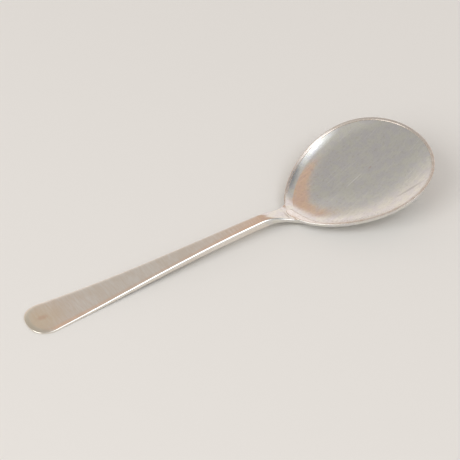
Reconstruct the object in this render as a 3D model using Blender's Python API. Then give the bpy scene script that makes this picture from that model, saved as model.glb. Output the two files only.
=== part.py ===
"""Silver serving piece: a dished bowl with an applied rim wire, scarf-soldered to a forged flat handle.

Lengths are in metres. +Z is up, +X runs from the end of the handle to the tip of the bowl, and the piece lies
on Z = 0, where it rests on the heel of the bowl and on the end of the handle.
"""

import bmesh
import bpy
import numpy as np

MM = 0.001

# Driving dimensions of the whole piece and of the bowl
LENGTH = 200.0 * MM
BOWL_LENGTH = 69.5 * MM
BOWL_WIDTH = 59.9 * MM
BOWL_DEPTH = 5.3 * MM  # floor below the line of the rim
EGG_SWELL = 0.19  # share of a second swell that makes the tip's half the broader
SIDE_SHIFT = -2.8 * MM  # moves the sides of the egg along, back towards the neck
RIM_RISE = 13.5 * MM  # tip of the rim above its neck
RIM_CROWN = 1.4 * MM  # how far the rim bows up between neck and tip
SHEET = 1.1 * MM
HEEL_FLAT = 0.2 * MM  # worn off the heel where it rests
WALL_POWER_NECK = 4.4  # flat floor and steep wall at the neck
WALL_POWER_TIP = 2.8  # gentler dish at the tip

# The applied wire and its solder
WIRE_WIDTH = 1.5 * MM
WIRE_HEIGHT = 0.6 * MM
WIRE_ENDS_APART = 3.0 * MM  # between the two rounded ends at the neck
SOLDER = 0.2 * MM
SOLDER_SETBACK = 0.15 * MM  # solder stops short of the edges that it joins
FIT_GAP = 0.15 * MM

# The handle and the tongue that it is joined to
HANDLE_END_WIDTH = 19.3 * MM  # where the taper would meet a square end
HANDLE_NECK_WIDTH = 5.0 * MM
TAPER_POWER = 1.81
END_ROUND = 10.5 * MM  # length of the rounded end
END_SQUARENESS = 2.3  # 2 is an ellipse, more is blunter
END_THICKNESS = 1.0 * MM
NECK_THICKNESS = 3.8 * MM
PAD_LENGTH = 14.0 * MM  # flat on the table at the end of the handle
ARCH_BACK = 10.0 * MM  # highest place of the handle, behind the bowl
ARCH_HEIGHT = 3.9 * MM  # its underside above the table
FLARE_LENGTH = 16.0 * MM
FLARE_REACH = 1.5 * MM  # how far past the neck the flare runs into the outline of the bowl
DROP_LENGTH = 6.0 * MM  # reach of the tongue under the bowl
DROP_WIDTH = 5.0 * MM
EDGE_ROUND = 0.4 * MM
SCARF_BACK = 13.5 * MM  # middle of the scarf joint, behind the bowl
SCARF_ANGLE = 45.0

# Fineness of the facets
AROUND = 72
DISH_RINGS = 9
WIRE_STEPS = 96
WIRE_ARC = 6
WIRE_END_TURNS = np.radians(np.linspace(20, 90, 5))  # round each end, from its blunt face to its full width
EDGE_SEGMENTS = 2
SHARP_ANGLE = np.radians(35)
END_STEPS = 8
SHAFT_STEPS = 24
NECK_STEPS = 16

X_END = -LENGTH / 2
X_TIP = LENGTH / 2
X_NECK = X_TIP - BOWL_LENGTH
X_MIDDLE = X_TIP - BOWL_LENGTH / 2
X_PAD = X_END + PAD_LENGTH
X_ARCH = X_NECK - ARCH_BACK
X_FLARE = X_NECK + FLARE_REACH
X_DROP = X_NECK + DROP_LENGTH
WIRE_BASE = 2 * FIT_GAP + SOLDER
WIRE_TOP = WIRE_BASE + WIRE_HEIGHT


def swell(angle):
    """Breadth of the egg at an angle round it, before it is brought to the width of the bowl."""
    return np.sin(angle) + EGG_SWELL * np.sin(2 * angle)


FINE_ANGLES = np.linspace(-np.pi, np.pi, 40 * AROUND + 1)
SWELL_PEAK = swell(FINE_ANGLES).max()


def egg(angle, inset=0.0):
    """Plan outline of the bowl at an angle round it, moved in square to itself, and its outward directions."""
    half = BOWL_LENGTH / 2
    broad = BOWL_WIDTH / 2 / SWELL_PEAK
    x = X_MIDDLE + half * np.cos(angle) + SIDE_SHIFT * (1 - np.cos(2 * angle))
    y = broad * swell(angle)
    along_x = -half * np.sin(angle) + 2 * SIDE_SHIFT * np.sin(2 * angle)
    along_y = broad * (np.cos(angle) + 2 * EGG_SWELL * np.cos(2 * angle))
    length = np.hypot(along_x, along_y)
    out = np.stack([along_y / length, -along_x / length], axis=-1)
    return np.stack([x, y], axis=-1) - inset * out, out


# The flare ends on the outline of the bowl, so its width is taken from there.
NECK_SIDE = egg(FINE_ANGLES[FINE_ANGLES > np.pi / 2])[0][::-1]
FLARE = np.interp(X_FLARE, NECK_SIDE[:, 0], NECK_SIDE[:, 1]) - HANDLE_NECK_WIDTH / 2


def rim_line(x):
    """Height of the rim over its neck: a steady rise that bows up by RIM_CROWN at two thirds of the way."""
    s = (x - X_NECK) / BOWL_LENGTH
    return RIM_RISE * s + RIM_CROWN * 27 / 4 * s**2 * (1 - s)


def dish(angle, reach, inset):
    """Points of a dished surface. Reach runs from 0 at the middle of the bowl to 1 at the inset outline."""
    outline, _ = egg(angle, inset)
    x = X_MIDDLE + reach * (outline[..., 0] - X_MIDDLE)
    y = reach * outline[..., 1]
    mean = (WALL_POWER_TIP + WALL_POWER_NECK) / 2
    power = mean + (WALL_POWER_TIP - WALL_POWER_NECK) / 2 * np.cos(angle)
    return np.stack([x, y, rim_line(x) - BOWL_DEPTH * (1 - reach**power)], axis=-1)


AROUND_ANGLES = np.linspace(-np.pi, np.pi, AROUND, endpoint=False)
RING_REACH = np.sin(np.linspace(0, np.pi / 2, DISH_RINGS + 1))[1:, None]
UNDERSIDE = dish(AROUND_ANGLES[None, :], RING_REACH, 0.0) - [0, 0, SHEET]
# The heel goes HEEL_FLAT below the table and is cut off there, so this is the height of the rim at its neck.
RIM_NECK_HEIGHT = -HEEL_FLAT - UNDERSIDE[..., 2].min()


def lifted(points):
    """Points over the neck of the rim, set at their height over the table."""
    return points + [0, 0, RIM_NECK_HEIGHT]


def rim_height(x):
    return RIM_NECK_HEIGHT + rim_line(x)


def ease(x, x0, x1, z0, z1):
    """Smooth cubic from (x0, z0) to (x1, z1), level at both ends."""
    t = np.clip((x - x0) / (x1 - x0), 0, 1)
    return z0 + (z1 - z0) * t**2 * (3 - 2 * t)


def new_object(name, mesh_maker):
    """An object whose mesh the given function fills in, with its faces turned out."""
    mesh = bpy.data.meshes.new(name)
    shape = bmesh.new()
    mesh_maker(shape)
    bmesh.ops.recalc_face_normals(shape, faces=shape.faces)
    shape.to_mesh(mesh)
    shape.free()
    piece = bpy.data.objects.new(name, mesh)
    bpy.context.scene.collection.objects.link(piece)
    return piece


def add_rings(shape, rings, round_about, start=None, end=None):
    """Skin a row of rings with quads. A start or end point closes its side as a fan, or else one face does."""
    rows = [[shape.verts.new(point) for point in ring] for ring in rings]
    count = len(rows[0])
    spans = range(count) if round_about else range(count - 1)
    for here, there in zip(rows[:-1], rows[1:]):
        for i in spans:
            k = (i + 1) % count
            shape.faces.new([here[i], here[k], there[k], there[i]])
    for row, point in ((rows[0], start), (rows[-1], end)):
        if point is None:
            shape.faces.new(row)
            continue
        pole = shape.verts.new(point)
        for i in spans:
            shape.faces.new([row[i], row[(i + 1) % count], pole])


def bowl_shell(shape):
    """Closed sheet of the bowl: underside with worn heel, edge, flat land for the wire, and dished inside."""
    under = lifted(UNDERSIDE)
    under[..., 2] = np.maximum(under[..., 2], 0)
    inside = lifted(dish(AROUND_ANGLES[None, :], RING_REACH, WIRE_WIDTH))
    land = lifted(dish(AROUND_ANGLES, 1.0, 0.0))
    middle = lifted(np.array([X_MIDDLE, 0, rim_line(X_MIDDLE) - BOWL_DEPTH]))
    rings = [*under, land, *inside[::-1]]
    add_rings(shape, rings, True, start=middle - [0, 0, SHEET], end=middle)


def hollow(shape):
    """Room inside the bowl, half a sheet into its wall and open above, which trims what enters the wall."""
    depth_in_wall = WIRE_WIDTH - SHEET / 2
    rings = list(lifted(dish(AROUND_ANGLES[None, :], RING_REACH, depth_in_wall)) - [0, 0, SHEET / 2])
    over = rings[-1] + [0, 0, BOWL_DEPTH + WIRE_TOP]
    middle = lifted(np.array([X_MIDDLE, 0, rim_line(X_MIDDLE) - BOWL_DEPTH - SHEET / 2]))
    roof = middle + [0, 0, 3 * BOWL_DEPTH + RIM_RISE]
    add_rings(shape, [*rings, over], True, start=middle, end=roof)


def wire_path(half_width):
    """Angles round the egg and half-widths of a band whose rounded ends stop on both sides of the neck."""
    middle, _ = egg(FINE_ANGLES, WIRE_WIDTH / 2)
    travel = np.append(0, np.cumsum(np.hypot(*np.diff(middle, axis=0).T)))
    turn = WIRE_END_TURNS
    ends = WIRE_ENDS_APART / 2 + WIRE_WIDTH / 2 - half_width + half_width * (1 - np.cos(turn))
    body = np.linspace(ends[-1], travel[-1] - ends[-1], WIRE_STEPS + 1)[1:-1]
    places = np.concatenate([ends, body, travel[-1] - ends[::-1]])
    widths = np.full(len(places), half_width)
    widths[: len(turn)] = half_width * np.sin(turn)
    widths[-len(turn) :] = half_width * np.sin(turn[::-1])
    return np.interp(places, travel, FINE_ANGLES), widths


def band(shape, half_width, section):
    """A section of (across, up) pairs carried along the wire's path. Across is a share of the half-width."""
    angles, widths = wire_path(half_width)
    middle, out = egg(angles, WIRE_WIDTH / 2)
    across = np.array([pair[0] for pair in section])
    up = np.array([pair[1] for pair in section])
    plan = middle[:, None, :] + (widths[:, None] * across)[..., None] * out[:, None, :]
    height = rim_height(plan[..., 0]) + up
    add_rings(shape, np.concatenate([plan, height[..., None]], axis=-1), True)


def wire_section():
    """Flat underneath and crowned on top, as a drawn half-round wire is."""
    shoulder = WIRE_BASE + WIRE_HEIGHT / 3
    turn = np.linspace(0, np.pi, WIRE_ARC + 1)
    arc = [(np.cos(a), shoulder + (WIRE_TOP - shoulder) * np.sin(a)) for a in turn]
    return [(-1, WIRE_BASE), (1, WIRE_BASE), *arc]


def wire_seat_section():
    """Room for the wire where the tongue passes under and behind its ends."""
    below = -SHEET / 4
    above = WIRE_TOP + SHEET
    return [(-1, below), (1, below), (1, above), (-1, above)]


def solder_section():
    top = FIT_GAP + SOLDER
    return [(-1, FIT_GAP), (1, FIT_GAP), (1, top), (-1, top)]


def half_width_of_bar(x):
    """Taper from the wide end to the neck, a flare into the bowl, then a rounded drop under it."""
    from_neck = np.clip((X_NECK - x) / (X_NECK - X_END), 0, 1)
    taper = (HANDLE_END_WIDTH - HANDLE_NECK_WIDTH) / 2 * from_neck**TAPER_POWER
    flare = FLARE * np.clip(1 - (X_FLARE - x) / FLARE_LENGTH, 0, 1) ** 3
    past = np.clip((x - X_FLARE) / (X_DROP - X_FLARE), 0, 1)
    wide = HANDLE_NECK_WIDTH / 2 + taper + flare
    return wide + (DROP_WIDTH / 2 - wide) * past**2


def bar_underside(x):
    """Flat on the table, a slow rise to the arch, then down under the bowl to the middle of its sheet."""
    drop_end = dish(np.pi, (X_MIDDLE - X_DROP) / (X_MIDDLE - X_NECK), 0.0)
    drop_height = RIM_NECK_HEIGHT + drop_end[2] - SHEET / 2
    rise = ease(x, X_PAD, X_ARCH, 0, ARCH_HEIGHT)
    fall = ease(x, X_ARCH, X_DROP, ARCH_HEIGHT, drop_height)
    return np.where(x < X_ARCH, rise, fall)


def bar_top(x):
    """The forged thickness over the underside as far as the arch, then down to the top of the rim wire."""
    share = np.clip((x - X_END) / (X_ARCH - X_END), 0, 1)
    forged = bar_underside(x) + END_THICKNESS + (NECK_THICKNESS - END_THICKNESS) * share
    neck = RIM_NECK_HEIGHT + WIRE_TOP
    fall = ease(x, X_ARCH, X_NECK, ARCH_HEIGHT + NECK_THICKNESS, neck)
    return np.where(x < X_ARCH, forged, np.where(x < X_NECK, fall, rim_height(x) + WIRE_TOP))


def bar(shape):
    """Handle and tongue as one forging, before the scarf is cut: stations along X with softened edges."""
    turn = np.linspace(0, np.pi / 2, END_STEPS + 1)[1:]
    round_end = X_END + END_ROUND * (1 - np.cos(turn).clip(0) ** (2 / END_SQUARENESS))
    shaft = np.linspace(round_end[-1], X_ARCH, SHAFT_STEPS + 1)[1:]
    neck = np.linspace(X_ARCH, X_DROP, NECK_STEPS + 1)[1:]
    x = np.concatenate([round_end, shaft, neck])
    rounding = np.concatenate([np.sin(turn) ** (2 / END_SQUARENESS), np.ones(len(shaft) + len(neck))])
    half = half_width_of_bar(x) * rounding
    low, high = bar_underside(x), bar_top(x)
    end_low = shape.verts.new((X_END, 0, 0))
    end_high = shape.verts.new((X_END, 0, END_THICKNESS))
    rows = []
    for place, side, bottom, top in zip(x, half, low, high):
        corners = ((-side, bottom), (side, bottom), (side, top), (-side, top))
        rows.append([shape.verts.new((place, y, z)) for y, z in corners])
    first = rows[0]
    shape.faces.new([end_low, first[0], first[1]])
    shape.faces.new([end_high, first[2], first[3]])
    shape.faces.new([end_low, end_high, first[2], first[1]])
    shape.faces.new([end_low, end_high, first[3], first[0]])
    soft = [shape.edges.get((end_low, first[0])), shape.edges.get((end_low, first[1]))]
    soft += [shape.edges.get((end_high, first[2])), shape.edges.get((end_high, first[3]))]
    for here, there in zip(rows[:-1], rows[1:]):
        for i in range(4):
            k = (i + 1) % 4
            shape.faces.new([here[i], here[k], there[k], there[i]])
        soft += [shape.edges.get(pair) for pair in zip(here, there)]
    shape.faces.new(rows[-1])
    bmesh.ops.recalc_face_normals(shape, faces=shape.faces)
    bmesh.ops.bevel(
        shape,
        geom=soft,
        offset=EDGE_ROUND,
        segments=EDGE_SEGMENTS,
        profile=0.5,
        affect="EDGES",
        clamp_overlap=True,
    )


def cut_across(shape, along, keep_front):
    """Cut the bar on the scarf plane, moved along its normal, and close the cut face."""
    angle = np.radians(SCARF_ANGLE)
    normal = np.array([np.cos(angle), 0, np.sin(angle)])
    x = X_NECK - SCARF_BACK
    middle = np.array([x, 0, (bar_underside(x) + bar_top(x)) / 2]) + along * normal
    geometry = [*shape.verts, *shape.edges, *shape.faces]
    cut = bmesh.ops.bisect_plane(
        shape,
        geom=geometry,
        plane_co=middle,
        plane_no=normal,
        clear_inner=keep_front,
        clear_outer=not keep_front,
    )
    rim = [item for item in cut["geom_cut"] if isinstance(item, bmesh.types.BMEdge)]
    bmesh.ops.edgeloop_fill(shape, edges=rim)


def handle_mesh(shape):
    bar(shape)
    cut_across(shape, -SOLDER / 2 - FIT_GAP, False)


def tongue_mesh(shape):
    bar(shape)
    cut_across(shape, SOLDER / 2 + FIT_GAP, True)


def neck_solder_mesh(shape):
    bar(shape)
    cut_across(shape, -SOLDER / 2, True)
    cut_across(shape, SOLDER / 2, False)


def boolean(piece, tool, operation):
    """Join or cut with a helper that takes no part in the finished piece."""
    modifier = piece.modifiers.new(tool.name, "BOOLEAN")
    modifier.operation = operation
    modifier.solver = "EXACT"
    modifier.object = tool
    tool.hide_render = True
    tool.display_type = "WIRE"


def finish(piece, name, colour, roughness):
    """Give a piece its own metal and smooth shading with crisp corners."""
    metal = bpy.data.materials.new(name)
    metal.use_nodes = True
    shader = metal.node_tree.nodes["Principled BSDF"]
    shader.inputs["Base Color"].default_value = (*colour, 1)
    shader.inputs["Metallic"].default_value = 1.0
    shader.inputs["Roughness"].default_value = roughness
    piece.data.materials.append(metal)
    piece.data.shade_smooth()
    piece.data.set_sharp_from_angle(angle=SHARP_ANGLE)


def build():
    for old in list(bpy.data.objects):
        bpy.data.objects.remove(old, do_unlink=True)

    bowl = new_object("bowl", bowl_shell)
    tongue = new_object("tongue", tongue_mesh)
    seat_half_width = WIRE_WIDTH / 2 + FIT_GAP
    seat = new_object("wire_seat", lambda shape: band(shape, seat_half_width, wire_seat_section()))
    boolean(tongue, new_object("hollow", hollow), "DIFFERENCE")
    boolean(tongue, seat, "DIFFERENCE")
    boolean(bowl, tongue, "UNION")

    wire = new_object("rim_wire", lambda shape: band(shape, WIRE_WIDTH / 2, wire_section()))
    seam_half_width = WIRE_WIDTH / 2 - SOLDER_SETBACK
    seam = new_object("rim_solder", lambda shape: band(shape, seam_half_width, solder_section()))
    handle = new_object("handle", handle_mesh)
    scarf = new_object("neck_solder", neck_solder_mesh)

    finish(bowl, "worn silver sheet", (0.50, 0.47, 0.42), 0.34)
    finish(wire, "drawn silver wire", (0.62, 0.50, 0.42), 0.28)
    finish(seam, "rim hard solder", (0.36, 0.26, 0.18), 0.45)
    finish(handle, "forged silver bar", (0.54, 0.48, 0.42), 0.32)
    finish(scarf, "neck hard solder", (0.58, 0.53, 0.47), 0.40)


build()
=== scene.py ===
"""Shows the silver serving piece: egg-shaped dished bowl, applied rim wire, forged handle and their solder.

Each piece is a surface worked out in numpy on a grid, from the sizes below and the boxes of the frame.
Lengths are in metres, +X runs from the end of the handle to the tip of the bowl and +Z is up.
"""

import bmesh
import bpy
import numpy as np
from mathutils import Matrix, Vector


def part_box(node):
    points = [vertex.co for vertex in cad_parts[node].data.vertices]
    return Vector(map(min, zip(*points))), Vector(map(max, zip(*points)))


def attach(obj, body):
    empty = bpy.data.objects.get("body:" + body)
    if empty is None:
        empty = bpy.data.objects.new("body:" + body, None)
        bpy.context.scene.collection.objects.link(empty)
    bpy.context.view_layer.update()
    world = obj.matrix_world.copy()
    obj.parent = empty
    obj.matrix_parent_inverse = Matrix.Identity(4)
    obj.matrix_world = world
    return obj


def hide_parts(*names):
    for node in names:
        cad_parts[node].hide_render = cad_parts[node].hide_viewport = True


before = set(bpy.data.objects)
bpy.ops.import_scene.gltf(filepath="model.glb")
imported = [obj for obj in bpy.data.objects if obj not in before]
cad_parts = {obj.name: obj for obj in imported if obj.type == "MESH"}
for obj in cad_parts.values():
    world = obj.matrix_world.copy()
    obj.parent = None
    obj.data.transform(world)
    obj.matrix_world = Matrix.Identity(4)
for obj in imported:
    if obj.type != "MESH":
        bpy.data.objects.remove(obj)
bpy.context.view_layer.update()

MM = 0.001

# Overall sizes, from the frame
X_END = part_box("handle")[0].x
X_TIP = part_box("bowl")[1].x
BOWL_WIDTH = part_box("rim_wire")[1].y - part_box("rim_wire")[0].y
RIM_TIP_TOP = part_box("rim_wire")[1].z

# The dished bowl
BOWL_LENGTH = 69.5 * MM
BOWL_DEPTH = 5.3 * MM  # of the underside, below the line of the rim
FLOOR_DEPTH = 4.7 * MM  # of the upper side, below the top of its wall
EGG_SWELL = 0.19  # share of a second swell that makes the tip's half the broader
SIDE_SHIFT = -2.8 * MM  # moves the sides of the egg along, back towards the neck
RIM_RISE = 13.5 * MM
RIM_CROWN = 1.4 * MM  # how far the rim bows up between neck and tip
SHEET = 0.9 * MM
WALL_POWER_NECK = 4.6  # flat floor and steep wall at the neck
WALL_POWER_FAR = 3.7  # the wall on +Y is the steeper, as in a bowl raised by hand
WALL_POWER_NEAR = 2.6
WALL_POWER_TIP = 2.8  # gentler dish at the tip
WALL_TURN = np.radians(62)  # from the middle of the neck to its steepest wall, towards +Y
WALL_INSET = 1.0 * MM  # top of the wall, in from the outline and under the wire
WALL_ROLL = 0.25 * MM  # softness of the turn from wall to rim
MOST_REACH = 1.3  # past this share of its radius the dish rises no further
RIM_TILT_NECK = 0.60  # fall of the top of the rim towards the bowl, against the line of the rim
RIM_TILT_SIDE = 0.32
RIM_TILT_TIP = 0.10
TILT_NARROW = 0.3  # share of the neck's half that has the tilt of the sides
TILT_STARTS = 0.5  # shares of the radius between which the wall takes up the tilt of the rim
TILT_FULL = 0.9
RIM_TOP_REACH = 4.0 * MM  # from the outline to where the wall is sure to be lower
RIM_EDGE_ROUND = 0.3 * MM
RIM_UNDER_ROUND = 0.6 * MM

# The rim wire and its solder
WIRE_WIDTH = 1.1 * MM
WIRE_SOLID_TOP = 1.1 * MM  # of the frame's wire, over the line of the rim
WIRE_TOP = 0.7 * MM  # of the wire shown here, which is worn flatter
WIRE_STANDS = 0.14 * MM  # over the land that it is let into
WIRE_STARTS = -1.1 * np.pi  # angle of the egg from which its length is counted, past the neck
WIRE_NEAR_END = 2.8 * MM  # past the middle of the neck
WIRE_FAR_END = 4.4 * MM  # short of the middle of the neck
WIRE_SPREAD = 18.0 * MM  # length of the hammered, wider near end
WIRE_WIDEST = 3.0 * MM  # from the middle of the neck to its widest place
WIRE_SPREAD_IN = 2.5 * MM
WIRE_SPREAD_OUT = 0.9 * MM
WIRE_FILED = 14.0 * MM  # length over which the far end is filed down into the rim
WIRE_SINKS = 0.3 * MM  # how deep it is filed at the very end
WIRE_SHOULDER = 0.5  # power of the section's sine and cosine: 1 is half round, less is squarer
BEAD = 0.08 * MM  # radius of the run of solder beside the wire
BEAD_OUT = 0.2  # share of the radius by which its middle lies off the wire
BEAD_UNDER = 3.0  # radii by which it goes under the wire on the outer side
BEAD_SHOWN = 6.0 * MM  # length that shows on the outer side, and where it has gone under
BEAD_GONE = 9.0 * MM

# The handle and the neck
HANDLE_END_WIDTH = 19.9 * MM  # where the taper would meet a square end
NECK_WIDTH = 5.6 * MM
TAPER_POWER = 1.81
END_ROUND = 10.5 * MM
END_SQUARENESS = 2.3  # 2 is an ellipse, more is blunter
END_THICKNESS = 1.0 * MM
NECK_THICKNESS = 3.8 * MM
PAD_LENGTH = 14.0 * MM  # flat on the table at the end of the handle
ARCH_BACK = 10.0 * MM  # highest place of the handle, behind the bowl
ARCH_HEIGHT = 3.9 * MM  # its underside above the table
FALL_BACK = 15.0 * MM  # where the top starts to fall towards the bowl
NECK_FALL = 0.37  # its slope where it meets the rim
NECK_BLEND_BACK = 3.0 * MM  # the top of the neck turns into that of the rim from here, behind the bowl
NECK_BLEND_PAST = 1.5 * MM
CROWN_REACH = 2.2 * MM  # the top of the bar falls away over this distance from its edges
CROWN_DROP = 0.44 * MM
CROWN_FADES = 8.0 * MM  # distances behind the bowl between which the crown dies out
CROWN_GONE = 1.0 * MM
FLARE_LENGTH = 19.0 * MM
FLARE_REACH = 1.5 * MM
NECK_FILLET = 0.5 * MM  # softness of the corner between neck and bowl
FILLET_REACH = 8.0 * MM  # past the flare, by where the bowl is sure to be wider than the bar
DROP_LENGTH = 6.0 * MM  # reach of the tongue under the bowl
DROP_WIDTH = 5.0 * MM
DROP_SIDE = 0.4 * MM  # the lower, the steeper are the sides of the drop
DROP_END = 20.0 * MM  # the higher, the steeper is its end
DROP_BLEND = 0.6 * MM  # softness of the turn from drop to bowl
EDGE_ROUND = 1.2 * MM  # of the top edges of the bar
UNDER_ROUND = 0.5 * MM
EDGE_SHARE = 0.6  # most of the thickness that these two may take
UNDER_SHARE = 0.3
SCARF_BACK = 13.5 * MM
SCARF_LEAN = 5.0 * MM  # length over which the stations lean to the slope of the scarf
SEAM = 0.05 * MM  # half of the solder in the scarf, along X

X_NECK = X_TIP - BOWL_LENGTH
X_MIDDLE = X_TIP - BOWL_LENGTH / 2
X_PAD = X_END + PAD_LENGTH
X_ARCH = X_NECK - ARCH_BACK
X_FALL = X_NECK - FALL_BACK
X_FLARE = X_NECK + FLARE_REACH
X_DROP = X_NECK + DROP_LENGTH
X_SCARF = X_NECK - SCARF_BACK
RIM_NECK_HEIGHT = RIM_TIP_TOP - RIM_RISE - WIRE_SOLID_TOP
LAND = WIRE_TOP - WIRE_STANDS  # edge of the bowl and top of the neck, over the line of the rim
CROWN_ANGLE = np.arctan(2 * CROWN_DROP / CROWN_REACH)
RIM_ANGLE = np.arctan(RIM_TILT_SIDE)

# Fineness of the grids
FINE = np.linspace(-np.pi, np.pi, 2881)
STATIONS = 340
BOWL_ACROSS = 150
HANDLE_ACROSS = 48
UNDER_ACROSS = 40
EDGE_STEPS = 7
WIRE_STEPS = 900
WIRE_ARC = 21
WIRE_FLAT = 4
BEAD_ARC = 31
BEAD_AROUND = 10
OUTLINE_STEPS = 1000
SHARP_ANGLE = np.radians(40)
MERGE = 1e-4 * MM  # points nearer than this are one
TINY = 1e-9


def ramp(value, low, high):
    """0 at low, 1 at high and a smooth cubic between them."""
    t = np.clip((value - low) / (high - low), 0, 1)
    return t * t * (3 - 2 * t)


def soft_min(a, b, soft):
    """The lesser of two heights, with the crossing rounded over a height of soft."""
    share = np.clip(0.5 + (b - a) / (2 * soft), 0, 1)
    return b + (a - b) * share - soft * share * (1 - share)


def swell(angle):
    """Breadth of the egg: a sine and a share of its second harmonic."""
    return np.sin(angle) + EGG_SWELL * np.sin(2 * angle)


SWELL_PEAK = swell(FINE).max()


def egg(angle, inset=0.0):
    """Plan outline of the bowl, inset square to itself, and its normals: an ellipse with a second swell."""
    half = BOWL_LENGTH / 2
    broad = BOWL_WIDTH / 2 / SWELL_PEAK
    x = X_MIDDLE + half * np.cos(angle) + SIDE_SHIFT * (1 - np.cos(2 * angle))
    y = broad * swell(angle)
    along_x = -half * np.sin(angle) + 2 * SIDE_SHIFT * np.sin(2 * angle)
    along_y = broad * (np.cos(angle) + 2 * EGG_SWELL * np.cos(2 * angle))
    length = np.hypot(along_x, along_y)
    out_x, out_y = along_y / length, -along_x / length
    return x - inset * out_x, y - inset * out_y, out_x, out_y


# The flare ends on the outline of the bowl, so its width is taken from there.
NECK_X, NECK_Y, _, _ = egg(FINE[FINE > np.pi / 2][::-1])
FLARE = np.interp(X_FLARE, NECK_X, NECK_Y) - NECK_WIDTH / 2


def reach_of(x, y, inset):
    """Distance from the bowl's middle, radius of the inset outline that way, and the egg's angle there."""
    edge_x, edge_y, _, _ = egg(FINE, inset)
    turn = np.unwrap(np.arctan2(edge_y, edge_x - X_MIDDLE))
    here = np.arctan2(y, x - X_MIDDLE)
    radius = np.interp(here, turn, np.hypot(edge_x - X_MIDDLE, edge_y))
    return np.hypot(x - X_MIDDLE, y), radius, np.interp(here, turn, FINE)


def round_bowl(angle, neck, side, tip, narrow):
    """A value given at neck, sides and tip, with smooth cubics between them in the angle's cosine.

    A share of the neck's half is kept for the sides.
    """
    along = np.cos(angle)
    return side + (neck - side) * ramp(-along, narrow, 1.0) + (tip - side) * ramp(along, 0.0, 1.0)


def rim_height(x):
    """Steady rise from neck to tip that bows up by RIM_CROWN at two thirds of the way."""
    s = (x - X_NECK) / BOWL_LENGTH
    return RIM_NECK_HEIGHT + RIM_RISE * s + RIM_CROWN * 27 / 4 * s**2 * (1 - s)


def dish(x, y, inset, depth):
    """Dished surface under the rim: the depth times one minus a power of the reach, steeper at the neck."""
    distance, radius, angle = reach_of(x, y, inset)
    mean = (WALL_POWER_FAR + WALL_POWER_NEAR) / 2
    side = mean + (WALL_POWER_FAR - WALL_POWER_NEAR) / 2 * np.sin(angle)
    power = round_bowl(angle + WALL_TURN, WALL_POWER_NECK, side, WALL_POWER_TIP, 0.0)
    return rim_height(x) - depth * (1 - (distance / radius).clip(0, MOST_REACH) ** power)


def rim_tilt(angle):
    """Fall of the top of the rim towards the bowl, as a slope."""
    return round_bowl(angle + WALL_TURN, RIM_TILT_NECK, RIM_TILT_SIDE, RIM_TILT_TIP, TILT_NARROW)


def rim_cap(x, y):
    """Top of the rim: its line plus the land, less the tilt times the distance in from the outline."""
    distance, radius, angle = reach_of(x, y, 0.0)
    return rim_height(x) + LAND - rim_tilt(angle) * np.minimum(radius - distance, RIM_TOP_REACH)


def bar_half_width(x):
    """Taper from the wide end to the neck, then a cubic flare into the outline of the bowl."""
    from_neck = np.clip((X_NECK - x) / (X_NECK - X_END), 0, 1)
    taper = (HANDLE_END_WIDTH - NECK_WIDTH) / 2 * from_neck**TAPER_POWER
    return NECK_WIDTH / 2 + taper + FLARE * np.clip(1 - (X_FLARE - x) / FLARE_LENGTH, 0, 1) ** 3


def bar_underside(x):
    """Flat on the table, a slow rise to the arch, then down under the bowl to the middle of its sheet."""
    drop = dish(np.array(X_DROP), np.array(0.0), 0.0, BOWL_DEPTH) - SHEET / 2
    return ramp(x, X_PAD, X_ARCH) * ARCH_HEIGHT + ramp(x, X_ARCH, X_DROP) * (drop - ARCH_HEIGHT)


def bar_top(x):
    """Forged thickness over the underside, then a cubic fall to the rim and on at the slope NECK_FALL."""
    share = np.clip((x - X_END) / (X_FALL - X_END), 0, 1)
    forged = bar_underside(x) + END_THICKNESS + (NECK_THICKNESS - END_THICKNESS) * share
    high = bar_underside(X_FALL) + NECK_THICKNESS
    rise = (NECK_THICKNESS - END_THICKNESS) / (X_FALL - X_END)
    t = np.clip((x - X_FALL) / FALL_BACK, 0, 1)
    fall = high + t**2 * (3 - 2 * t) * (RIM_NECK_HEIGHT + LAND - high)
    fall += FALL_BACK * t * (1 - t) * (rise * (1 - t) + NECK_FALL * t)
    return np.where(x < X_FALL, forged, fall - NECK_FALL * np.clip(x - X_NECK, 0, None))


def crown_share(x):
    """The crown dies out before the bar runs into the bowl."""
    return 1 - ramp(x, X_NECK - CROWN_FADES, X_NECK - CROWN_GONE)


def neck_share(x):
    """1 along the neck, 0 along the rim and a smooth cubic between them."""
    return 1 - ramp(x, X_NECK - NECK_BLEND_BACK, X_NECK + NECK_BLEND_PAST)


def handle_top(x, y):
    """The top of the bar less its crown: a parabola over the last stretch before its sides and its end."""
    half = bar_half_width(x)
    past = np.clip((X_END + END_ROUND - x) / END_ROUND, 0, 1)
    level = (past**END_SQUARENESS + (np.abs(y) / half) ** END_SQUARENESS) ** (1 / END_SQUARENESS)
    near_edge = np.clip(1 - (1 - level) * half / CROWN_REACH, 0, 1)
    return bar_top(x) - CROWN_DROP * crown_share(x) * near_edge**2


def handle_underside(x, y):
    """The underside of the bar, the same all across."""
    return bar_underside(x) + 0 * y


def rim_top(x, y):
    """The top of the rim, and behind it that of the neck."""
    return rim_cap(x, y) + (handle_top(x, y) - rim_cap(x, y)) * neck_share(x)


def bowl_top(x, y):
    """The dish, rolled over softly into the top of the rim, which runs on into the top of the neck."""
    distance, radius, angle = reach_of(x, y, 0.0)
    out = ramp(distance, TILT_STARTS * radius, TILT_FULL * radius)
    tilt = RIM_TILT_SIDE + (rim_tilt(angle) - RIM_TILT_SIDE) * out
    wall = dish(x, y, WALL_INSET, FLOOR_DEPTH) + LAND - WALL_INSET * tilt
    return soft_min(wall, rim_top(x, y), WALL_ROLL)


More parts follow.
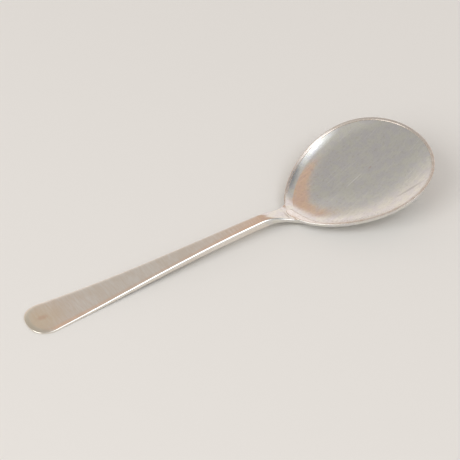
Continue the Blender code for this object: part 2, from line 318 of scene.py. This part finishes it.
def bowl_underside(x, y):
    """The dish less the sheet, and the drop of the tongue under it, worn flat where it meets the table."""
    past = np.clip((x - X_FLARE) / (X_DROP - X_FLARE), 0, 1)
    half = bar_half_width(x) + (DROP_WIDTH / 2 - bar_half_width(x)) * past**2
    beside = np.clip(np.abs(y) - half, 0, None)
    drop = bar_underside(x) + beside**2 / DROP_SIDE + DROP_END * np.clip(x / X_DROP - 1, 0, None)
    return np.maximum(soft_min(dish(x, y, 0.0, BOWL_DEPTH) - SHEET, drop, DROP_BLEND), 0)


def resample(x, y, count):
    """Points at even steps along a plan curve."""
    run = np.concatenate([[0], np.cumsum(np.hypot(np.diff(x), np.diff(y)))])
    even = np.linspace(0, run[-1], count)
    return np.interp(even, run, x), np.interp(even, run, y)


def bowl_outline():
    """Half of the plan of bowl and tongue, from the tip back to the scarf: egg and flare, with a fillet."""
    edge_x, edge_y, _, _ = egg(np.linspace(0, np.pi, 4 * OUTLINE_STEPS + 1))
    neck_x = np.linspace(X_NECK, X_SCARF + SEAM, OUTLINE_STEPS + 1)[1:]
    x = np.concatenate([edge_x, neck_x])
    y = np.concatenate([edge_y, np.zeros(OUTLINE_STEPS)])
    by_neck = x < X_FLARE + FILLET_REACH
    y = -soft_min(-y, -bar_half_width(x) * by_neck, NECK_FILLET * by_neck + TINY)
    return resample(x, y, STATIONS)


def handle_outline():
    """Half of the handle's plan, from its end to the scarf: the taper closed by a blunt superellipse."""
    turn = np.linspace(0, np.pi / 2, OUTLINE_STEPS + 1)
    round_x = X_END + END_ROUND * (1 - np.cos(turn).clip(0) ** (2 / END_SQUARENESS))
    straight_x = np.linspace(round_x[-1], X_SCARF - SEAM, 2 * OUTLINE_STEPS + 1)[1:]
    x = np.concatenate([round_x, straight_x])
    rounding = np.concatenate([np.sin(turn) ** (2 / END_SQUARENESS), np.ones(2 * OUTLINE_STEPS)])
    return resample(x, bar_half_width(x) * rounding, STATIONS)


def slab(outline, top, underside, top_round, top_slope, under_round, across):
    """Loops round a flat piece: across its top, round an edge, back across its underside, round the other.

    Each station of the half outline gives one loop at both signs of y. The edges are arcs, from the slope
    that the top has there to upright and from upright to level, and between them the heights are those of
    the two functions of x and y. The marks that come with the points say where the edges are, for their
    wear, and which side is the upper.
    """
    x, y = outline
    along_x, along_y = np.gradient(x), np.gradient(y)
    if y[0] < TINY:
        along_x[0], along_y[0] = 0, 1
    length = np.hypot(along_x, along_y)
    outward = 1 if x[0] > x[-1] else -1
    out_x, out_y = outward * along_y / length, -outward * along_x / length

    def place(inset, share=1.0):
        """Plan points in from the outline by the inset, at a share of the half width that is left."""
        at_x = x[:, None] - inset * out_x[:, None]
        at_y = np.maximum(y[:, None] - inset * out_y[:, None], 0) * share
        return at_x + 0 * at_y, at_y

    def rung(inset, share, height):
        """Points across the piece at those shares, at the height of one of its two surfaces."""
        at_x, at_y = place(inset[:, None], share)
        return np.stack([at_x, at_y, height(at_x, at_y)], axis=-1)

    def edge(radius, slope, height, sign):
        """Arc of the radius that leaves a surface at its slope and turns upright, down or up by the sign."""
        turn = slope[:, None] + (np.pi / 2 - slope[:, None]) * np.linspace(0, 1, EDGE_STEPS)
        start = height(*place((radius * (1 - np.sin(slope)))[:, None]))
        at_x, at_y = place(radius[:, None] * (1 - np.sin(turn)))
        drop = radius[:, None] * (np.cos(slope)[:, None] - np.cos(turn))
        return np.stack([at_x, at_y, start + sign * drop], axis=-1)

    level = np.zeros(len(x))
    share = np.linspace(-1, 1, across)
    share = (share + np.sin(np.pi / 2 * share)) / 2
    upper = rung(top_round * (1 - np.sin(top_slope)), share, top)
    upper_edge = edge(top_round, top_slope, top, -1)
    lower_edge = edge(under_round, level, underside, 1)
    lower = rung(under_round, np.linspace(1, -1, UNDER_ACROSS)[1:-1], underside)
    far = np.array([1, -1, 1])
    parts = (
        upper,
        upper_edge[:, 1:],
        lower_edge[:, ::-1],
        lower,
        lower_edge * far,
        upper_edge[:, :0:-1] * far,
    )
    points = np.concatenate(parts, axis=1)
    hump = np.sin(np.linspace(0, np.pi, EDGE_STEPS))
    flat, flat_below = np.zeros(across), np.zeros(UNDER_ACROSS - 2)
    worn = np.concatenate([flat, hump[1:], hump, flat_below, hump, hump[:0:-1]])
    above = np.concatenate([flat + 1, np.ones(EDGE_STEPS - 1)])
    below = np.zeros(2 * EDGE_STEPS + UNDER_ACROSS - 2)
    marks = {"worn": worn, "upper": np.concatenate([above, below, np.ones(EDGE_STEPS - 1)])}
    return points, {name: np.broadcast_to(mark, points.shape[:2]) for name, mark in marks.items()}


def lean(points, weight):
    """Stations near the scarf slide along X with height, to end on its slope and keep to the bar."""
    x, y, z = points[..., 0], points[..., 1], points[..., 2]
    middle = (bar_top(np.array(X_SCARF)) + bar_underside(np.array(X_SCARF))) / 2
    there = x - weight * (z - middle)
    up = (z - bar_underside(x)) / (bar_top(x) - bar_underside(x))
    z_there = bar_underside(there) + up * (bar_top(there) - bar_underside(there))
    y_there = y / bar_half_width(x) * bar_half_width(there)
    return np.where(weight[..., None] > 0, np.stack([there, y_there, z_there], axis=-1), points)


def skin(name, points, marks, cap_first=False, cap_last=False, ring=False):
    """One closed mesh object from rows of points, with marks for its material as attributes of the points.

    Each row is a loop, and with ring the last row joins the first.
    """
    rows, columns, _ = points.shape
    index = np.arange(rows * columns).reshape(rows, columns)
    here = index if ring else index[:-1]
    there = np.roll(index, -1, axis=0) if ring else index[1:]
    corners = [here, np.roll(here, -1, axis=1), np.roll(there, -1, axis=1), there]
    faces = np.stack(corners, axis=-1).reshape(-1, 4).tolist()
    if cap_first:
        faces.append(index[0].tolist())
    if cap_last:
        faces.append(index[-1].tolist())
    mesh = bpy.data.meshes.new(name)
    mesh.from_pydata(points.reshape(-1, 3), [], faces)
    for mark, values in marks.items():
        attribute = mesh.attributes.new(mark, "FLOAT", "POINT")
        attribute.data.foreach_set("value", values.ravel().astype(np.float32))
    shape = bmesh.new()
    shape.from_mesh(mesh)
    bmesh.ops.remove_doubles(shape, verts=shape.verts, dist=MERGE)
    bmesh.ops.dissolve_degenerate(shape, edges=shape.edges, dist=MERGE)
    bmesh.ops.recalc_face_normals(shape, faces=shape.faces)
    shape.to_mesh(mesh)
    shape.free()
    mesh.shade_smooth()
    mesh.set_sharp_from_angle(angle=SHARP_ANGLE)
    piece = bpy.data.objects.new(name, mesh)
    bpy.context.scene.collection.objects.link(piece)
    return piece


def bowl_points():
    """Bowl and tongue as one slab: fine edges round the rim, rounder ones behind, an end on the scarf."""
    x, y = bowl_outline()
    neck = neck_share(x)
    top_round = RIM_EDGE_ROUND + (EDGE_ROUND - RIM_EDGE_ROUND) * neck * crown_share(x)
    top_slope = CROWN_ANGLE * crown_share(x) * neck - RIM_ANGLE * (1 - neck)
    under_round = RIM_UNDER_ROUND + (UNDER_ROUND - RIM_UNDER_ROUND) * neck
    points, marks = slab((x, y), bowl_top, bowl_underside, top_round, top_slope, under_round, BOWL_ACROSS)
    return lean(points, 1 - ramp(points[..., 0], X_SCARF + SEAM, X_SCARF + SEAM + SCARF_LEAN)), marks


def handle_points():
    """The handle as one slab with a crowned top, thin at its end, and an end on the scarf."""
    x, y = handle_outline()
    thick = bar_top(x) - bar_underside(x) - CROWN_DROP
    top_round = np.minimum(EDGE_ROUND, EDGE_SHARE * thick)
    under_round = np.minimum(UNDER_ROUND, UNDER_SHARE * thick)
    slope = CROWN_ANGLE * crown_share(x)
    points, marks = slab((x, y), handle_top, handle_underside, top_round, slope, under_round, HANDLE_ACROSS)
    return lean(points, ramp(points[..., 0], X_SCARF - SEAM - SCARF_LEAN, X_SCARF - SEAM)), marks


def neck_solder_points():
    """Two stations of the bar's own section, one on each side of the scarf."""
    x = np.array([X_SCARF - SEAM, X_SCARF + SEAM])
    y = bar_half_width(x)
    top_round, under_round = np.full(2, EDGE_ROUND), np.full(2, UNDER_ROUND)
    slope = CROWN_ANGLE * crown_share(x)
    points, marks = slab((x, y), handle_top, handle_underside, top_round, slope, under_round, HANDLE_ACROSS)
    return lean(points, np.ones(points.shape[:2])), marks


def wire_path():
    """Middle of the wire, from its near end by the tip to its far end: run from the neck, place, normals."""
    angle = np.linspace(WIRE_STARTS, np.pi, 8 * OUTLINE_STEPS + 1)
    x, y, _, _ = egg(angle, WIRE_WIDTH / 2)
    run = np.concatenate([[0], np.cumsum(np.hypot(np.diff(x), np.diff(y)))])
    run -= np.interp(-np.pi, angle, run)
    even = np.linspace(-WIRE_NEAR_END, run[-1] - WIRE_FAR_END, WIRE_STEPS)
    return even, np.stack(egg(np.interp(even, run, angle), WIRE_WIDTH / 2))


def wire_sides(run):
    """How far the wire reaches inward and outward of its path, hammered wider towards its near end."""
    inward = ramp(run, -3 * WIRE_NEAR_END, WIRE_WIDEST) * (1 - ramp(run, WIRE_WIDEST, WIRE_SPREAD))
    outward = 1 - ramp(run, 0, 2 * WIRE_WIDEST)
    return WIRE_WIDTH / 2 + WIRE_SPREAD_IN * inward, WIRE_WIDTH / 2 + WIRE_SPREAD_OUT * outward


def filed(run):
    """1 at the far end of the wire, which is filed down into the rim, falling to 0 over WIRE_FILED."""
    return 1 - ramp(run[-1] - run, 0, WIRE_FILED)


def beside(path, ahead, side):
    """Plan points at distances ahead along the wire's path and out to its side."""
    x, y, out_x, out_y = path
    return np.stack([x - ahead * out_y + side * out_x, y + ahead * out_x + side * out_y])


def wire_points():
    """A flat section with round shoulders, carried along the path and closed by half circles in plan."""
    run, path = wire_path()
    inward, outward = wire_sides(run)
    middle, half = (outward - inward) / 2, (outward + inward) / 2
    from_end = np.minimum(run - run[0], run[-1] - run) / half
    round_end = np.sqrt(1 - np.clip(1 - from_end, 0, 1) ** 2)
    turn = np.linspace(0, np.pi, WIRE_ARC)
    shoulders = np.sign(np.cos(turn)) * np.abs(np.cos(turn)) ** WIRE_SHOULDER
    across = np.concatenate([shoulders, np.linspace(-1, 1, WIRE_FLAT + 2)[1:-1]])
    up = np.concatenate([np.sin(turn) ** WIRE_SHOULDER, np.full(WIRE_FLAT, -1.0)])
    up[[0, WIRE_ARC - 1]] = -1.0
    side = middle[:, None] + (round_end * half)[:, None] * across
    x, y = beside(path[:, :, None], 0.0, side)
    z = bowl_top(x, y) + WIRE_STANDS * up - WIRE_SINKS * filed(run)[:, None]
    dressed = 1 - ramp(run, WIRE_SPREAD / 2, 1.5 * WIRE_SPREAD)
    return np.stack([x, y, z], axis=-1), {"worn": np.broadcast_to(dressed[:, None], x.shape)}


def bead_points():
    """A thin run of solder along the inner foot of the wire, round its ends and a little way outside."""
    run, path = wire_path()
    inward, outward = wire_sides(run)
    middle, half = (outward - inward) / 2, (outward + inward) / 2
    from_end = np.minimum(run - run[0], run[-1] - run)
    keep = from_end > half
    first, last = np.flatnonzero(keep)[[0, -1]]
    turn = np.linspace(-np.pi / 2, np.pi / 2, BEAD_ARC + 2)[1:-1]

    def round_end(i, sign):
        """Half a circle in plan round the end of the wire at station i."""
        radius = half[i] + BEAD_OUT * BEAD
        return beside(path[:, [i]], sign * radius * np.cos(turn), middle[i] + radius * np.sin(turn))

    inner = -(inward + BEAD_OUT * BEAD)[keep]
    outer = (outward + BEAD * (BEAD_OUT - BEAD_UNDER * ramp(from_end, BEAD_SHOWN, BEAD_GONE)))[keep]
    there = beside(path[:, keep], 0.0, inner)
    back = beside(path[:, keep], 0.0, outer)[:, ::-1]
    x, y = np.concatenate([there, round_end(last, 1), back, round_end(first, -1)[:, ::-1]], axis=1)
    sunk = filed(run)[keep]
    sunk = np.concatenate([sunk, np.ones(BEAD_ARC), sunk[::-1], np.zeros(BEAD_ARC)])
    z = bowl_top(x, y) - WIRE_SINKS * sunk

    ahead_x = np.roll(x, -1) - np.roll(x, 1)
    ahead_y = np.roll(y, -1) - np.roll(y, 1)
    length = np.hypot(ahead_x, ahead_y)
    turn = np.linspace(0, 2 * np.pi, BEAD_AROUND, endpoint=False)
    side = BEAD * np.cos(turn)
    at_x = x[:, None] + side * (ahead_y / length)[:, None]
    at_y = y[:, None] - side * (ahead_x / length)[:, None]
    return np.stack([at_x, at_y, z[:, None] + BEAD * np.sin(turn)], axis=-1)


def linear(colour):
    """Linear RGBA of an sRGB hex colour."""
    channels = np.array([int(colour[i : i + 2], 16) for i in (1, 3, 5)]) / 255
    return (*np.where(channels < 0.04045, channels / 12.92, ((channels + 0.055) / 1.055) ** 2.4), 1.0)


def node(tree, kind, inputs, **settings):
    """Adds one shader node, sets it up, and feeds each input from a socket or with a value."""
    made = tree.nodes.new("ShaderNode" + kind)
    for name, value in settings.items():
        setattr(made, name, value)
    for name, value in inputs.items():
        if isinstance(value, bpy.types.NodeSocket):
            tree.links.new(value, made.inputs[name])
        else:
            made.inputs[name].default_value = value
    return made


def metal(name, roughness):
    """A metal that starts plain: its tree, its shader and the place on the piece, as Object coordinates."""
    material = bpy.data.materials.new(name)
    material.use_nodes = True
    tree = material.node_tree
    shader = tree.nodes["Principled BSDF"]
    shader.inputs["Metallic"].default_value = 1.0
    shader.inputs["Roughness"].default_value = roughness
    return material, tree, shader, node(tree, "TexCoord", {}).outputs["Object"]


def strokes(tree, place, length, width, turn):
    """Noise drawn out into strokes of a length and a width that lie at an angle to X."""
    drawn = {"Vector": place, "Rotation": (0, 0, turn), "Scale": (length, width, length)}
    along = node(tree, "Mapping", drawn, vector_type="TEXTURE").outputs["Vector"]
    return node(tree, "TexNoise", {"Vector": along, "Scale": 1.0, "Detail": 3.0}).outputs["Fac"]


def tint(tree, colour, other, value, low, high, most):
    """The colour, turned towards the other by up to most where the value goes from low to high."""
    limits = {"Value": value, "From Min": low, "From Max": high, "To Max": most}
    share = node(tree, "MapRange", limits, interpolation_type="SMOOTHSTEP").outputs["Result"]
    return node(tree, "Mix", {0: share, 6: colour, 7: linear(other)}, data_type="RGBA").outputs[2]


def blot(tree, place, x, y, length, width, turn=0.0):
    """Mask of one mark on the upper side: 1 in its middle, falling to 0 at an ellipse seen from above."""
    size = (length / 2, width / 2, 1)
    centred = {"Vector": place, "Location": (x, y, 0), "Rotation": (0, 0, turn), "Scale": size}
    at = node(tree, "Mapping", centred, vector_type="TEXTURE").outputs["Vector"]
    mask = node(tree, "TexGradient", {"Vector": at}, gradient_type="SPHERICAL").outputs["Fac"]
    upper = node(tree, "Attribute", {}, attribute_name="upper").outputs["Fac"]
    return node(tree, "Math", {0: mask, 1: upper}, operation="MULTIPLY").outputs["Value"]


# Sterling silver sheet, raised with hammers and polished by use. It mirrors softly, under a thin patina that
# is mottled olive and mauve, with fine scratches that run lengthwise. Real ones are under 0.1 mm wide, so
# they are drawn coarser to show.
PATINA_BLOTCH = 4.0 * MM
PATINA_GRAIN = 1.1 * MM
GRAIN_HEIGHT = 0.018 * MM
SCRATCH_LENGTH = 9.0 * MM
SCRATCH_WIDTH = 0.4 * MM
SCRATCH_TURN = np.radians(15)
SCRATCH_HEIGHT = 0.012 * MM
HEEL_DULL = 0.6 * MM  # heights over the table between which the heel is polished by standing
HEEL_BRIGHT = 0.1 * MM
# Single marks: X, Y, length, width and turn
STREAK = (79.1 * MM, -21.95 * MM, 18 * MM, 2.2 * MM, np.radians(-4.5))
SCORE = (64.95 * MM, 1.15 * MM, 14 * MM, 0.7 * MM, np.radians(13.3))
SPOT = (74.4 * MM, 2.7 * MM, 2.6 * MM, 1.2 * MM, np.radians(13.3))


def raised_silver():
    """Patina, grain and scratches in the colour, three single marks, then bright edges and a bright heel."""
    material, tree, shader, place = metal("silver_raised_patinated", 0.16)
    blotches = {"Vector": place, "Scale": 1 / PATINA_BLOTCH, "Detail": 5.0, "Roughness": 0.6}
    patina = node(tree, "TexNoise", blotches).outputs["Fac"]
    grains = {"Vector": place, "Scale": 1 / PATINA_GRAIN, "Detail": 3.0}
    grain = node(tree, "TexNoise", grains).outputs["Fac"]
    scratches = strokes(tree, place, SCRATCH_LENGTH, SCRATCH_WIDTH, SCRATCH_TURN)
    worn = node(tree, "Attribute", {}, attribute_name="worn").outputs["Fac"]
    height = node(tree, "SeparateXYZ", {"Vector": place}).outputs["Z"]

    colour = tint(tree, linear("#e5e3da"), "#e0dddc", patina, 0.38, 0.62, 1.0)
    colour = tint(tree, colour, "#c6c1b6", grain, 0.48, 0.78, 0.35)
    colour = tint(tree, colour, "#fbf9f4", scratches, 0.54, 0.74, 0.38)
    colour = tint(tree, colour, "#8f8a82", blot(tree, place, *STREAK), 0.0, 0.8, 0.3)
    colour = tint(tree, colour, "#fffdf8", blot(tree, place, *SCORE), 0.0, 0.6, 0.7)
    colour = tint(tree, colour, "#c79c86", blot(tree, place, *SPOT), 0.0, 0.8, 0.35)
    colour = tint(tree, colour, "#f7f5f1", worn, 0.2, 1.0, 0.6)
    colour = tint(tree, colour, "#f7f5f1", height, HEEL_DULL, HEEL_BRIGHT, 0.7)
    tree.links.new(colour, shader.inputs["Base Color"])

    rough = {"Value": grain, "From Min": 0.3, "From Max": 0.7, "To Min": 0.12, "To Max": 0.2}
    tree.links.new(node(tree, "MapRange", rough).outputs["Result"], shader.inputs["Roughness"])
    dented = node(tree, "Bump", {"Height": grain, "Distance": GRAIN_HEIGHT}).outputs["Normal"]
    scored = {"Height": scratches, "Distance": SCRATCH_HEIGHT, "Normal": dented}
    tree.links.new(node(tree, "Bump", scored).outputs["Normal"], shader.inputs["Normal"])
    return material


# Sterling silver bar, forged flat and finished with fine abrasive strokes across its length, so it is satin
# and slightly streaked. The strokes are drawn about four times as wide as they are. Handling has warmed the
# colour of its end.
BRUSH_LENGTH = 5.0 * MM
BRUSH_WIDTH = 0.4 * MM
BRUSH_HEIGHT = 0.003 * MM
HAZE = 9.0 * MM
# Single marks: X, Y, length and width
TIP_TINT = (X_END + 4 * MM, 0.0, 34 * MM, 26 * MM)
TIP_SMUDGE = (X_END + 7.5 * MM, 0.4 * MM, 7 * MM, 4 * MM)


def forged_silver():
    """Strokes across and a slow haze in the colour, a warm end with a smudge, then bright edges."""
    material, tree, shader, place = metal("silver_forged_brushed", 0.2)
    brushing = strokes(tree, place, BRUSH_LENGTH, BRUSH_WIDTH, np.pi / 2)
    haze = node(tree, "TexNoise", {"Vector": place, "Scale": 1 / HAZE, "Detail": 3.0}).outputs["Fac"]
    worn = node(tree, "Attribute", {}, attribute_name="worn").outputs["Fac"]

    colour = tint(tree, linear("#f1ece5"), "#eae3da", brushing, 0.35, 0.65, 1.0)
    colour = tint(tree, colour, "#e6dccf", haze, 0.4, 0.7, 0.5)
    colour = tint(tree, colour, "#ead9b8", blot(tree, place, *TIP_TINT), 0.0, 0.9, 0.5)
    colour = tint(tree, colour, "#dcb49c", blot(tree, place, *TIP_SMUDGE), 0.0, 0.8, 0.4)
    colour = tint(tree, colour, "#faf8f5", worn, 0.2, 1.0, 0.7)
    tree.links.new(colour, shader.inputs["Base Color"])

    rough = {"Value": brushing, "From Min": 0.3, "From Max": 0.7, "To Min": 0.15, "To Max": 0.24}
    tree.links.new(node(tree, "MapRange", rough).outputs["Result"], shader.inputs["Roughness"])
    brushed = node(tree, "Bump", {"Height": brushing, "Distance": BRUSH_HEIGHT}).outputs["Normal"]
    tree.links.new(brushed, shader.inputs["Normal"])
    return material


# Silver wire, drawn through a plate and rubbed flat by use: smooth, a little warmer than the sheet, with
# dull spots. Its hammered near end was dressed with the neck and is as pale.
DULL_SPOT = 2.0 * MM


def drawn_silver():
    """Dull spots in the colour and the roughness, and a pale near end."""
    material, tree, shader, place = metal("silver_drawn_wire", 0.25)
    dull = node(tree, "TexNoise", {"Vector": place, "Scale": 1 / DULL_SPOT, "Detail": 4.0}).outputs["Fac"]
    worn = node(tree, "Attribute", {}, attribute_name="worn").outputs["Fac"]
    colour = tint(tree, linear("#ebe1d8"), "#d8c8ba", dull, 0.42, 0.68, 0.8)
    colour = tint(tree, colour, "#f6f4f1", worn, 0.0, 1.0, 0.85)
    tree.links.new(colour, shader.inputs["Base Color"])
    rough = {"Value": dull, "From Min": 0.35, "From Max": 0.65, "To Min": 0.2, "To Max": 0.32}
    tree.links.new(node(tree, "MapRange", rough).outputs["Result"], shader.inputs["Roughness"])
    return material


# Hard solder with copper in it, left as it ran: tarnished brown in spots and dull beside the silver.
TARNISH_SPOT = 1.2 * MM


def tarnished_solder():
    """Brown spots in the colour, duller where they are darker."""
    material, tree, shader, place = metal("hard_solder_tarnished", 0.4)
    spotted = {"Vector": place, "Scale": 1 / TARNISH_SPOT, "Detail": 3.0}
    spots = node(tree, "TexNoise", spotted).outputs["Fac"]
    colour = tint(tree, linear("#d2c5b8"), "#a8947f", spots, 0.4, 0.65, 1.0)
    tree.links.new(colour, shader.inputs["Base Color"])
    rough = {"Value": spots, "From Min": 0.3, "From Max": 0.7, "To Min": 0.32, "To Max": 0.5}
    tree.links.new(node(tree, "MapRange", rough).outputs["Result"], shader.inputs["Roughness"])
    return material


# Hard solder, filed and brushed level with the bar: hardly yellower than the silver beside it.
def dressed_solder():
    """The bar's strokes across, in two close colours."""
    material, tree, shader, place = metal("hard_solder_dressed", 0.2)
    brushing = strokes(tree, place, BRUSH_LENGTH, BRUSH_WIDTH, np.pi / 2)
    colour = tint(tree, linear("#f1ebdf"), "#e6dccd", brushing, 0.35, 0.65, 1.0)
    tree.links.new(colour, shader.inputs["Base Color"])
    return material


bowl = skin("bowl_dished", *bowl_points(), cap_last=True)
handle = skin("handle_forged", *handle_points(), cap_last=True)
seam = skin("neck_seam", *neck_solder_points(), cap_first=True, cap_last=True)
wire = skin("rim_wire_drawn", *wire_points())
bead = skin("rim_solder_run", bead_points(), {}, ring=True)

pieces = (
    (bowl, "bowl", "bowl_silver", raised_silver()),
    (handle, "handle", "handle_silver", forged_silver()),
    (seam, "neck_solder", "neck_solder", dressed_solder()),
    (wire, "rim_wire", "rim_silver", drawn_silver()),
    (bead, "rim_solder", "rim_solder", tarnished_solder()),
)
for piece, cad_node, slot, material in pieces:
    piece.data.materials.append(material)
    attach(piece, "root")
    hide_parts(cad_node)


# Floor, light and camera
FLOOR_SIZE = 4.0
CAMERA_AZIMUTH = -121.118  # in degrees from +X
CAMERA_ELEVATION = 42.49
CAMERA_DISTANCE = 1.2
SENSOR = 36.0
CAMERA_LENS = 215.4  # in the unit of the sensor
CAMERA_RAISED = 5.8 * MM

floor_mesh = bpy.data.meshes.new("floor")
half = FLOOR_SIZE / 2
corners = [(-half, -half, 0), (half, -half, 0), (half, half, 0), (-half, half, 0)]
floor_mesh.from_pydata(corners, [], [(0, 1, 2, 3)])
floor = bpy.data.objects.new("floor", floor_mesh)
bpy.context.scene.collection.objects.link(floor)
paper = bpy.data.materials.new("paper_matt")
paper.use_nodes = True
paper_shader = paper.node_tree.nodes["Principled BSDF"]
paper_shader.inputs["Base Color"].default_value = linear("#e8e6e2")
paper_shader.inputs["Roughness"].default_value = 0.9
floor_mesh.materials.append(paper)


def towards(azimuth, elevation):
    """Unit vector at an azimuth from +X and an elevation, in degrees."""
    turn, tilt = np.radians(azimuth), np.radians(elevation)
    return Vector((np.cos(turn) * np.cos(tilt), np.sin(turn) * np.cos(tilt), np.sin(tilt)))


def softbox(name, azimuth, elevation, distance, wide, high, radiance):
    """White area light that faces the object, placed and sized by angles in degrees, of a given radiance."""
    lamp = bpy.data.lights.new(name, "AREA")
    lamp.shape = "RECTANGLE"
    lamp.size = 2 * distance * np.tan(np.radians(wide / 2))
    lamp.size_y = 2 * distance * np.tan(np.radians(high / 2))
    lamp.energy = radiance * np.pi * lamp.size * lamp.size_y
    box = bpy.data.objects.new(name, lamp)
    away = towards(azimuth, elevation)
    box.location = away * distance
    box.rotation_euler = away.to_track_quat("Z", "Y").to_euler()
    box.visible_camera = False
    bpy.context.scene.collection.objects.link(box)


softbox("key", azimuth=-57, elevation=50, distance=1.2, wide=24, high=24, radiance=2.0)
softbox("fill", azimuth=185, elevation=40, distance=1.3, wide=40, high=40, radiance=2.2)

# The room round the table: grey, with round parts given by azimuth, elevation, radius, softness and colour
ROOM_STRENGTH = 1.4
ROOM_GREY = "#adaba8"
ROOM_PARTS = (
    (109, 63, 22, 9, "#9f9d9b"),  # ceiling
    (94, -14, 39, 16, "#d8d0cb"),  # pale backdrop
    (22, 62, 12, 3, "#b99f8e"),  # warm wall, in three parts that narrow upwards
    (44, 52, 12, 3, "#b99f8e"),
    (43, 31, 21, 2, "#b99f8e"),
    (26, -12, 48, 4, "#dcd5d2"),  # white backdrop
    (-14, 40, 9, 8, "#72757c"),  # shade beside the skylight
    (-57, 53, 13, 13, "#e9eef5"),  # skylight
)

world = bpy.data.worlds.new("studio")
world.use_nodes = True
room = world.node_tree
look = node(room, "TexCoord", {}).outputs["Generated"]
colour = linear(ROOM_GREY)
for azimuth, elevation, radius, soft, hue in ROOM_PARTS:
    middle = towards(azimuth, elevation)
    near = node(room, "VectorMath", {0: look, 1: middle}, operation="DOT_PRODUCT").outputs["Value"]
    outer, inner = np.cos(np.radians(radius + soft)), np.cos(np.radians(radius - soft))
    edge = {"Value": near, "From Min": outer, "From Max": inner}
    share = node(room, "MapRange", edge, interpolation_type="SMOOTHSTEP").outputs["Result"]
    colour = node(room, "Mix", {0: share, 6: colour, 7: linear(hue)}, data_type="RGBA").outputs[2]
room.links.new(colour, room.nodes["Background"].inputs["Color"])
room.nodes["Background"].inputs["Strength"].default_value = ROOM_STRENGTH
bpy.context.scene.world = world

camera = bpy.data.cameras.new("camera")
camera.lens = CAMERA_LENS
camera.sensor_width = SENSOR
eye = bpy.data.objects.new("camera", camera)
back = towards(CAMERA_AZIMUTH, CAMERA_ELEVATION)
turned = back.to_track_quat("Z", "Y")
eye.location = turned @ Vector((0, CAMERA_RAISED, 0)) + back * CAMERA_DISTANCE
eye.rotation_euler = turned.to_euler()
bpy.context.scene.collection.objects.link(eye)
bpy.context.scene.camera = eye
bpy.context.scene.view_settings.view_transform = "Standard"
